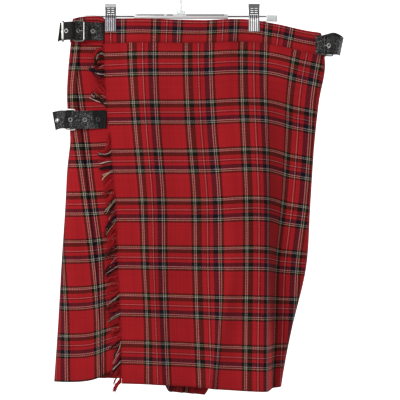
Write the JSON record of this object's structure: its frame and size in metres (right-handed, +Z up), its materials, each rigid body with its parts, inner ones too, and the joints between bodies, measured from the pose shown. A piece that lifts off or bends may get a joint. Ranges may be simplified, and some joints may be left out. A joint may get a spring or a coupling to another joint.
{
  "type": "kilt on a clip hanger",
  "caption": "Red tartan kilt with a fringed over apron, knife-pleated back and black leather buckled straps, hung flat by its waistband from a clip hanger.",
  "frame": {"origin": "the seat of the hanger's hook: the highest point of the inside of its bend, where a rail touches it", "axes": "+Z up, -Y out of the kilt's front, +X to the viewer's right along the hanger's rod"},
  "size_m": [0.5139, 0.0804, 0.7708],
  "materials": {
    "tartan": "matt worsted twill",
    "black_leather": "pebbled, half matt",
    "nickel": "bright",
    "bright_steel": "bright, lightly ribbed",
    "clear_plastic": "clear"
  },
  "bodies": {
    "root": {"clip_left_back": "bright_steel", "clip_left_front": "bright_steel", "clip_left_spring": "bright_steel", "clip_right_back": "bright_steel", "clip_right_front": "bright_steel", "clip_right_spring": "bright_steel", "first_pleat": "tartan", "fringe": "tartan", "hanger_beam": "clear_plastic", "hanger_boss": "clear_plastic", "hanger_end_left": "clear_plastic", "hanger_end_right": "clear_plastic", "hanger_hook": "clear_plastic", "hanger_rod": "bright_steel", "hip_buckle": "nickel", "hip_chape": "black_leather", "hip_eyelet_1": "nickel", "hip_eyelet_2": "nickel", "hip_eyelet_3": "nickel", "hip_eyelet_4": "nickel", "hip_strap": "black_leather", "over_apron": "tartan", "pleated_back": "tartan", "right_buckle": "nickel", "right_chape": "black_leather", "right_eyelet_1": "nickel", "right_prong": "nickel", "right_strap": "black_leather", "under_apron": "tartan", "upper_buckle": "nickel", "upper_chape": "black_leather", "upper_eyelet_1": "nickel", "upper_eyelet_2": "nickel", "upper_eyelet_3": "nickel", "upper_keeper": "nickel", "upper_prong": "nickel", "upper_strap": "black_leather", "waistband_back": "tartan", "waistband_front": "tartan", "waistband_left": "tartan"}
  },
  "joints": []
}
